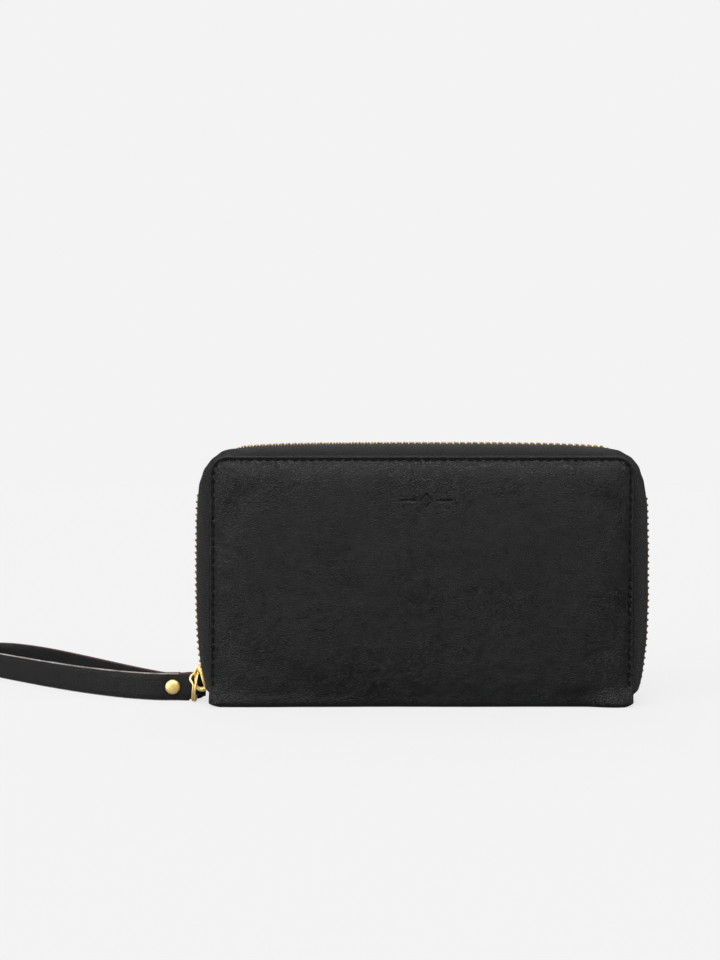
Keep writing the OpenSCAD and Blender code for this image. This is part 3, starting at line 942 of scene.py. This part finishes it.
def slider_piece():
    """The zip's slider: two shield-shaped plates, the post between them, side rails and the bail."""
    up = (SLIDER_HEAD - SLIDER_FOOT).normalized()
    out = Vector((-up.z, 0, up.x))
    middle = (SLIDER_FOOT + SLIDER_HEAD) / 2
    half_l = (SLIDER_HEAD - SLIDER_FOOT).length / 2
    shield = rounded_outline([(-3.7, -half_l * 0.45), (-2.9, -half_l), (2.9, -half_l),
                              (3.7, -half_l * 0.45), (3.1, half_l * 0.75), (1.6, half_l),
                              (-1.6, half_l), (-3.1, half_l * 0.75)], 1.4)

    def at(depth):
        return lambda u, v, d: tuple(middle + Vector((0, u, 0)) + up * v + out * (depth + d))

    meshes = [plate(shield, 1.25, 0.28, at(-0.6)), plate(shield, 0.85, 0.28, at(-4.3))]
    # Side rails on both plates, which hold the teeth in
    for depth in (-0.85, -3.05):
        for sign in (-1, 1):
            rail = rounded_outline([(sign * 3.05, -half_l * 0.8), (sign * 3.6, -half_l * 0.5),
                                    (sign * 3.05, half_l * 0.8), (sign * 2.75, half_l * 0.8),
                                    (sign * 2.9, -half_l * 0.5)][::sign], 0.2, 2)
            meshes.append(plate(rail, 0.6, 0.1, at(depth), 1))
    post = rounded_outline([(-0.28, -half_l * 0.9), (0.28, -half_l * 0.9), (0.34, -half_l * 0.5),
                            (0, -half_l * 0.1), (-0.34, -half_l * 0.5)], 0.2, 2)
    meshes.append(plate(post, 3.2, 0.05, at(-3.5), 1))
    meshes.append(bail())
    place(joined("slider_casting", meshes, GOLD), "slider", ["zip_slider"])


SPREAD_AT = math.radians(147)           # where the ring's second turn stands off from the first
RING_R, RING_WIRE = 6.12, 0.43
RING_LEAN = math.radians(7)
RING_STEPS = 150


def ring_piece():
    """The split ring: two turns of one wire, prised apart at the top by the bail."""
    low, high = cad_box("split_ring")
    centre = Vector(((low.x + high.x) / 2 + 0.15, (low.y + high.y) / 2, (low.z + high.z) / 2))
    axis = Vector((math.cos(RING_LEAN), 0, -math.sin(RING_LEAN)))
    up = Vector((math.sin(RING_LEAN), 0, math.cos(RING_LEAN)))
    points = []
    total = 4 * math.pi - 0.25                  # a little less than two turns
    for k in range(RING_STEPS + 1):
        t = total * k / RING_STEPS
        angle = -0.35 - t                       # starts behind, and goes down and round by the front
        second = smooth((t - 2 * math.pi + 0.5) / 1.0)
        way = (angle - SPREAD_AT + math.pi) % (2 * math.pi) - math.pi
        away = mix(0.42, -0.42 - 1.75 * bump(way / (0.5 if way > 0 else 0.75)), second)
        points.append(centre + axis * away
                      + RING_R * (math.cos(angle) * Vector((0, 1, 0)) + math.sin(angle) * up))
    parts = Parts()
    parts.tube(points, RING_WIRE, sides=12, up=axis)
    place(parts.piece("ring_wire", GOLD), "ring", ["split_ring"])


def lathe(name, profile, centre, axis_sign, segments=48):
    """A turned gold piece about the Y axis: profile is (radius, distance along the axis)."""
    rings = []
    for r, h in profile:
        rings.append([(centre[0] + r * math.cos(a), centre[1] + axis_sign * h,
                       centre[2] + r * math.sin(a))
                      for a in (2 * math.pi * k / segments for k in range(segments))])
    return lofted(name, rings, GOLD, sharp=35)


def rivet_pieces():
    """The rivet's domed head in front and its flat foot behind, on the pin."""
    low, high = cad_box("rivet_cap")
    r = (high.x - low.x) / 2
    centre = ((low.x + high.x) / 2, high.y, (low.z + high.z) / 2)
    dome = [(0.01, -0.2), (r * 0.93, -0.2), (r, 0.0), (r, 0.18), (r * 0.96, 0.36)]
    dome += [(r * 0.93 * math.cos(a), 0.36 + 0.85 * math.sin(a))
             for a in (math.pi / 2 * k / 9 for k in range(1, 9))] + [(0.01, 1.21)]
    place(lathe("rivet_head", dome, centre, -1), "strap", ["rivet_cap"])
    back = (centre[0], cad_box("rivet_post")[1].y - 0.8, centre[2])
    foot = [(0.01, -4.2), (1.15, -4.2), (1.15, -0.1), (r * 0.95, -0.1), (r, 0.1), (r, 0.5),
            (r * 0.93, 0.72), (r * 0.55, 0.8), (r * 0.45, 0.62), (0.01, 0.55)]
    place(lathe("rivet_foot", foot, back, 1), "strap", ["rivet_post"])


STACK_Y = 6.6                          # y of the middle one of the three layers at the rivet
LAYER = STRAP_T + 0.1                  # one layer to the next
RING_FOLD = (-91.3, 7.2, 2.7)          # x, y and radius of the fold round the ring's rear bar
STRAP_STEPS = 420
STRAP_EDGE = 0.32                      # the cut edges' rounding
RAW_FACES = {6, 7, 8, 9, 10, 15, 16, 17}        # sides of the section that are cut edges


def strap_path():
    """The strap's middle line in x and y: back band, loop, front band, fold round the ring, flap."""
    back = ((-105, STACK_Y + LAYER), (-136, 40), (-178, 107), (-200, 107))
    tip = ((-200, 107), (-215, 107), (-217, 97), (-207, 87))
    front = ((-207, 87), (-170, 49), (-131, 9), (-105, STACK_Y - LAYER))
    x, y, r = RING_FOLD
    points = [(-98.4, STACK_Y + LAYER), (-101.5, STACK_Y + LAYER)]
    points += bezier_chain([back, tip, front], 30)
    points += [(-101.5, STACK_Y - LAYER), (-98, STACK_Y - LAYER + 0.02), (-95, y - r + 0.18)]
    points += [(x + r * math.cos(a), y + r * math.sin(a))
               for a in (math.radians(-90 + 12 * k) for k in range(16))]
    points += [(-93, y + r - 0.3), (-95.2, y + r - 1.7), (-97, STACK_Y + 0.4),
               (-98.4, STACK_Y), (-101.5, STACK_Y), (-104.3, STACK_Y)]
    return points


def strap_piece():
    """The band of leather with its cut edges left raw; those edges get a painted highlight along the
    front band and painted shade on the rest.
    """
    path = Path(strap_path())
    fold_x = RING_FOLD[0]
    rings, uvs = [], []
    edge = STRAP_EDGE
    half_t = STRAP_T / 2
    for s, (x, y), n in path.walk(STRAP_STEPS, 0.7):
        # The lower edge lifts over the ring's wire, and the band bows a little along the loop
        side_x = x - fold_x
        notch = 2.25 * smooth((2.6 + side_x) / 0.5) * smooth((3.2 - side_x) / 0.5) \
            * smooth((RING_FOLD[1] - 0.4 - y) / 0.8)
        notch = max(notch, 1.9 * smooth((side_x - 0.4) / 3.2))
        wave = 0.10 * noise.noise(Vector((s / 17, 0.3, 5)))
        low, high = notch, STRAP_W - (0.35 * bump((x - fold_x) / 4) if x > -96 else 0)
        half = [(half_t - edge, low), (half_t - 0.10, low + 0.08), (half_t, low + edge)]
        half += [(half_t + swell, mix(low, high, f)) for swell, f in
                 ((0.03, 0.25), (0.05, 0.5), (0.03, 0.75))]
        half += [(half_t, high - edge), (half_t - 0.10, high - 0.08), (half_t - edge, high)]
        section = half + [(-o, z) for o, z in reversed(half)]
        rings.append([(x + n[0] * (o + wave), y + n[1] * (o + wave), z) for o, z in section])
        uvs.append([(s * MM, z * MM) for o, z in section])
    parts = Parts()
    parts.loft(rings, uvs)
    # The cut edges take a painted highlight (the lighter copy of the edge finish) along the front band
    # and painted shade (the darker copy) on the rest
    indices = []
    for i in range(STRAP_STEPS):
        light = 0.5 < i / len(rings) and rings[i][0][0] < -99
        indices += [(1 if light else 2) if j in RAW_FACES else 0 for j in range(len(rings[0]))]
    parts.indices = indices + [2, 2]
    piece = parts.piece("strap_band", [STRAP_LEATHER, LIT_RAW_EDGE, SHADED_RAW_EDGE], sharp=60)
    place(piece, "strap", ["wrist_strap"])


# ---------------------------------------------------------------- inside
PANEL_RIM = [0, 0.1, 0.25, 0.45, 0.8]           # a panel's first rows and columns from its edge


def inner_panel(name, node, body, materials, side, top=None, puff=0.0, seed=1.0,
                corner=1.0):
    """A thin panel in the place of a CAD sheet, with soft rims. side is the way its show face
    looks along Y, and top(u) lowers its upper edge, u running from -1 to 1."""
    low, high = cad_box(node)
    half = (high.x - low.x) / 2
    cx = (high.x + low.x) / 2
    thick = high.y - low.y
    base = high.y if side > 0 else low.y
    r = min(thick / 2, 0.4)
    across = [-half + d for d in PANEL_RIM] \
        + [(-1 + 2 * k / 76) * half * 0.985 for k in range(1, 76)] \
        + [half - d for d in reversed(PANEL_RIM)]
    tall = high.z - low.z
    upright = PANEL_RIM + [0.8 + (tall - 1.6) * k / 40 for k in range(1, 40)] \
        + [tall - d for d in reversed(PANEL_RIM)]
    face, back = [], []
    for v in upright:
        for x in across:
            u = x / half
            from_side = corner - (half - abs(x))
            round_off = corner - math.sqrt(corner ** 2 - from_side ** 2) if from_side > 0 else 0
            drop = (top(u) if top else 0) + round_off
            z = low.z + v * (tall - drop) / tall
            near = min(v, tall - v, half - abs(x))
            rim = r - math.sqrt(max(0, r * r - (r - near) ** 2)) if near < r else 0
            lift = puff * smooth(near / 9) * (0.8 + 0.4 * noise.noise(Vector((x / 25, z / 25, seed))))
            face.append((cx + x, base + side * (lift - rim), z))
            back.append((cx + x, base - side * (thick - rim), z))
    piece = closed_sheet(name, face, back, len(across), materials, flip=side > 0, reach=0.0001)
    return place(piece, body, [node])


FINE_STITCH = {"pitch": 2.6, "radius": 0.17, "slant": 0.05}
SLOT_STEP = 11          # each card slot's edge to the next one's


def thumb_dips(u):
    """How far a slot's edge dips, twice across the width."""
    return 2.6 * bump((abs(u) - 0.5) / 0.2)


def card_pockets():
    """Four stepped card slots on each cover, with thumb dips and stitches round and between."""
    for body, side in (("front", 1), ("back", -1)):
        parts = Parts()
        for number in range(1, 5):
            node = f"{body}_card_slot_{number}"
            inner_panel(f"{body}_card_pocket_{number}", node, body, INNER_LEATHER,
                        side, top=thumb_dips, seed=number)
            low, high = cad_box(node)
            face_y = high.y if side > 0 else low.y
            step = SLOT_STEP if number < 4 else high.z - low.z - 3
            rows = [[(x, high.z - 1), (x, high.z - step)] for x in (high.x - 1.5, low.x + 1.5, 0.0)]
            # Along the edge the stitches leave the dips out
            rows += [[(start, high.z - 1.3), (end, high.z - 1.3)] for start, end in
                     ((high.x - 3, high.x * 0.72), (low.x + 3, low.x * 0.72),
                      (-high.x * 0.26, high.x * 0.26))]
            if number == 4:
                rows.append([(low.x + 1.5, low.z + 1.5), (high.x - 1.5, low.z + 1.5)])
            for points in rows:
                stitches(parts, points, lambda x, z: face_y - side * 0.04, side, **FINE_STITCH)
        place(parts.piece(f"{body}_card_stitches", THREAD), body)


def linings():
    """The cloth on the covers and over the spine."""
    for body, side in (("front", 1), ("back", -1)):
        inner_panel(f"{body}_lining_cloth", f"{body}_lining", body, LINING, side,
                    seed=11.0 + side, corner=CORNER_R - 1)
    # The spine's lining, curved up a little towards its two edges
    low, high = cad_box("spine_lining")
    columns, rows = 61, 25
    top, under = [], []
    for j in range(rows):
        y = mix(-high.y, high.y, j / (rows - 1))
        for i in range(columns):
            x = mix(low.x - 2, high.x + 2, i / (columns - 1))
            rise = 1.0 * (abs(y) / high.y) ** 6
            wave = 0.08 * noise.noise(Vector((x / 11, y / 5, 2)))
            top.append((x, y, high.z + rise + wave))
            under.append((x, y, low.z + rise + wave * 0.5))
    piece = closed_sheet("spine_lining_cloth", top, under, columns, LINING)
    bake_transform(piece)
    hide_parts("spine_lining")


# The gussets' pleats in x and y, from the front cover to the back one
PLEATS = [(78.0, -8.5), (74.0, -4.9), (77.4, -2.5), (72.6, 0.0), (77.4, 2.5), (74.0, 4.9), (78.0, 8.5)]
PLEAT_X = 75.4          # their middle
GUSSET_LOW, GUSSET_HIGH = 1.9, 89.0
GUSSET_T = 0.6
GUSSET_ROWS = 44


def gusset_pieces():
    """Pleated leather sides between the covers, joined to the coin pocket in the middle."""
    for name, sign in (("left_gusset", -1), ("right_gusset", 1)):
        path = Path(PLEATS)
        rings = []
        for j in range(GUSSET_ROWS + 1):
            f = j / GUSSET_ROWS
            z = mix(GUSSET_LOW, GUSSET_HIGH, f)
            narrow = mix(0.35, 1.0, smooth(f * 2.2))
            skin, under = [], []
            for s, (x, y), n in path.walk(48, 0.9):
                x = PLEAT_X + (x - PLEAT_X) * narrow + 1.6 * bump(y / 4) * smooth((z - 76) / 6)
                nx, ny = n[0] * GUSSET_T / 2, n[1] * GUSSET_T / 2
                sag = 0.25 * noise.noise(Vector((s / 6, z / 16, sign * 4)))
                end = -1.6 * bump(s / path.length * 2 - 1) if j == GUSSET_ROWS else 0
                skin.append((sign * (x + nx + sag), y + ny, z + end))
                under.append((sign * (x - nx + sag), y - ny, z + end))
            rings.append(skin + under[::-1])
        piece = lofted(f"{name}_pleats", rings, INNER_LEATHER, sharp=70)
        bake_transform(piece)
        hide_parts(name)


COIL_PITCH, COIL_WIRE = 1.28, 0.26
COIL_SIDES = 10         # points on each of its turns


def coin_walls():
    """The two soft walls of the zipped pocket in the middle, and their stitches."""
    for node, side in (("coin_front_wall", -1), ("coin_back_wall", 1)):
        inner_panel(f"{node}_leather", node, "coin_pocket", INNER_LEATHER, side,
                    puff=0.25, seed=20.0 + side)
    low, high = cad_box("coin_back_wall")
    front_low = cad_box("coin_front_wall")[0]
    parts = Parts()
    for side, y in ((-1, front_low.y), (1, high.y)):
        border = [(-high.x + 1.6, high.z - 2), (-high.x + 1.6, low.z + 3.6), (-high.x + 3.6, low.z + 1.6)]
        border += [(-x, z) for x, z in reversed(border)]
        top_run = [(-high.x + 4, high.z - 1.6), (high.x - 4, high.z - 1.6)]
        for points in (border, top_run):
            stitches(parts, points, lambda x, z: y + side * 0.05, side, **FINE_STITCH)
    place(parts.piece("coin_stitches", THREAD), "coin_pocket")


def coin_binding():
    """The binding between the walls: a soft U of cloth round the sides and the foot."""
    low, high = cad_box("coin_back_wall")
    outline = [(-high.x + 0.9, high.z - 4), (-high.x + 0.9, low.z + 4), (-high.x + 2.2, low.z + 1.6),
               (-high.x + 5, low.z + 0.9)]
    outline += [(-x, z) for x, z in reversed(outline)]
    half_y = high.y - 0.85
    section = [(-0.9, -half_y), (0.5, -half_y), (0.85, -half_y * 0.6), (1.0, 0),
               (0.85, half_y * 0.6), (0.5, half_y), (-0.9, half_y)]
    rings = [[(x + n[0] * o, y, z + n[1] * o) for o, y in section]
             for _, (x, z), n in Path(outline).walk(180, 1.2)]
    place(lofted("coin_binding", rings, LINING), "coin_pocket", ["coin_pocket_seam"])


def coin_zip():
    """The coin pocket's zip: a swaying tape and a coil of nylon wire on each side."""
    for half, side in (("coin_zip_front", -1), ("coin_zip_back", 1)):
        low, high = cad_box(f"{half}_tape")
        rings, uvs = [], []
        for k in range(121):
            x = mix(low.x, high.x, k / 120)
            sway = 0.08 * math.sin(x * 0.21 + side)
            z = (low.z + high.z) / 2
            ring = [(x, low.y + sway * 0.5, low.z), (x, high.y + sway * 0.5, low.z),
                    (x, high.y + sway, z), (x, high.y, high.z), (x, low.y, high.z), (x, low.y + sway, z)]
            rings.append(ring)
            uvs.append([(x * MM, z * MM) for _, _, z in ring])
        place(lofted(f"{half}_tape_weave", rings, TAPE, uvs), "coin_pocket",
              [f"{half}_tape"])

        low, high = cad_box(f"{half}_coil")
        steps = int((high.x - low.x) / COIL_PITCH) * COIL_SIDES
        middle = (low + high) / 2
        rz, ry = (high.z - low.z) / 2 - COIL_WIRE, (high.y - low.y) / 2 + 0.05
        points = []
        for k in range(steps + 1):
            a = 2 * math.pi * k / COIL_SIDES
            x = mix(low.x, high.x, k / steps) + (COIL_PITCH / 4 if side > 0 else 0)
            points.append((min(x, high.x), middle.y + ry * math.cos(a) * side,
                           middle.z + rz * math.sin(a)))
        coil = Parts()
        coil.tube(points, COIL_WIRE, sides=6)
        place(coil.piece(f"{half}_coil_wire", NYLON), "coin_pocket", [f"{half}_coil"])


def finish_cad_node(node, finish, bevel):
    """A CAD node that already has its real shape: rounded rims and its own finish."""
    piece = frame["nodes"][node]
    piece.data.materials.clear()
    piece.data.materials.append(finish)
    if bevel:
        rims = piece.modifiers.new("rims", "BEVEL")
        rims.width = bevel * MM
        rims.segments = 3
        rims.limit_method = "ANGLE"
        rims.angle_limit = math.radians(35)
        rims.use_clamp_overlap = True


# ---------------------------------------------------------------- stage
CAMERA_PLACE = (-0.0251, -0.536, 0.0894)
PAPER_WHITE = 0.896     # what the camera sees where there's no floor
FLOOR_TONE = 0.11       # share of the light the paper sends back
FLOOR_GLOW = 0.711      # and its own light, which keeps the shadows faint
FLOOR_BOUNCE = 0.15     # what of that reaches the wallet
SKY_FLOOR = 0.08        # light from where no box stands
# The studio's soft boxes: direction, half angle of the rim and of the core, brightness
SOFT_BOXES = [
    ((0.0, 0.15, 1.0), 60, 20, 1.4),
    ((0.02, -0.62, 0.78), 26, 12, 10.0),
    ((-0.84, -0.52, 0.16), 34, 16, 7.0),
    ((0.92, -0.38, 0.25), 32, 11, 3.0),
    ((0.0, 1.0, 0.25), 50, 15, 0.7),
]


def stage():
    """The white paper that the wallet stands on. It glows for the camera and less for the wallet."""
    mesh = bpy.data.meshes.new("floor")
    reach = 30.0
    corners = [(-reach, -reach, 0), (reach, -reach, 0), (reach, reach, 0), (-reach, reach, 0)]
    mesh.from_pydata(corners, [], [(0, 1, 2, 3)])
    n = Nodes("floor_paper")
    seen = n.add("ShaderNodeLightPath").outputs["Is Camera Ray"]
    glow = n.between(seen, FLOOR_BOUNCE, FLOOR_GLOW, 0.0, 1.0)
    n.shader.inputs["Emission Color"].default_value = (1, 1, 1, 1)
    n.tree.links.new(glow, n.shader.inputs["Emission Strength"])
    mesh.materials.append(n.set(color=(FLOOR_TONE,) * 3, roughness=1.0, specular=0.0))
    floor = bpy.data.objects.new("floor", mesh)
    bpy.context.scene.collection.objects.link(floor)


def world():
    """A studio lit by soft boxes all round. The camera itself sees plain white paper."""
    studio = bpy.data.worlds.new("studio")
    bpy.context.scene.world = studio
    studio.use_nodes = True
    studio.node_tree.nodes.clear()

    def add(kind, inputs=None, **settings):
        return add_node(studio.node_tree, kind, inputs, **settings)

    way = add("ShaderNodeTexCoord").outputs["Generated"]
    total = SKY_FLOOR
    for direction, reach, core, strength in SOFT_BOXES:
        aim = Vector(direction).normalized()
        facing = add("ShaderNodeVectorMath", {0: way, 1: tuple(aim)}, operation="DOT_PRODUCT")
        glow = add("ShaderNodeMapRange", {"Value": facing.outputs["Value"],
                                          "From Min": math.cos(math.radians(reach)),
                                          "From Max": math.cos(math.radians(core)),
                                          "To Min": 0.0, "To Max": strength},
                   interpolation_type="SMOOTHSTEP").outputs["Result"]
        total = add("ShaderNodeMath", {0: glow, 1: total}, operation="ADD").outputs[0]
    seen = add("ShaderNodeLightPath").outputs["Is Camera Ray"]
    lit = add("ShaderNodeBackground", {"Strength": total}).outputs[0]
    paper = add("ShaderNodeBackground", {"Color": (PAPER_WHITE,) * 3 + (1,)}).outputs[0]
    both = add("ShaderNodeMixShader", {"Fac": seen, 1: lit, 2: paper}).outputs[0]
    add("ShaderNodeOutputWorld", {"Surface": both})


def camera():
    """A level camera with a 50 mm lens, a little to the left of the wallet's middle."""
    data = bpy.data.cameras.new("camera")
    data.lens, data.sensor_width, data.sensor_fit = 50, 36, "AUTO"
    data.clip_start, data.clip_end = 0.01, 100
    eye = bpy.data.objects.new("camera", data)
    eye.location = CAMERA_PLACE
    eye.rotation_euler = (math.radians(90), 0, 0)
    bpy.context.scene.collection.objects.link(eye)
    bpy.context.scene.camera = eye
    bpy.context.scene.view_settings.view_transform = "Standard"


# ---------------------------------------------------------------- build
camera()
stage()
world()

outer_leather(cloth_crown())
cover_stitches()
tape_half("front_tape", "front", -1)
tape_half("back_tape", "back", 1)
teeth_rows()
slider_piece()
ring_piece()
rivet_pieces()
strap_piece()
linings()
card_pockets()
gusset_pieces()
coin_walls()
coin_binding()
coin_zip()
zip_stops()
finish_cad_node("front_board", BOARD, 0.0)
finish_cad_node("back_board", BOARD, 0.0)
finish_cad_node("coin_slider_body", GOLD, 0.12)
finish_cad_node("coin_pull", GOLD, 0.15)
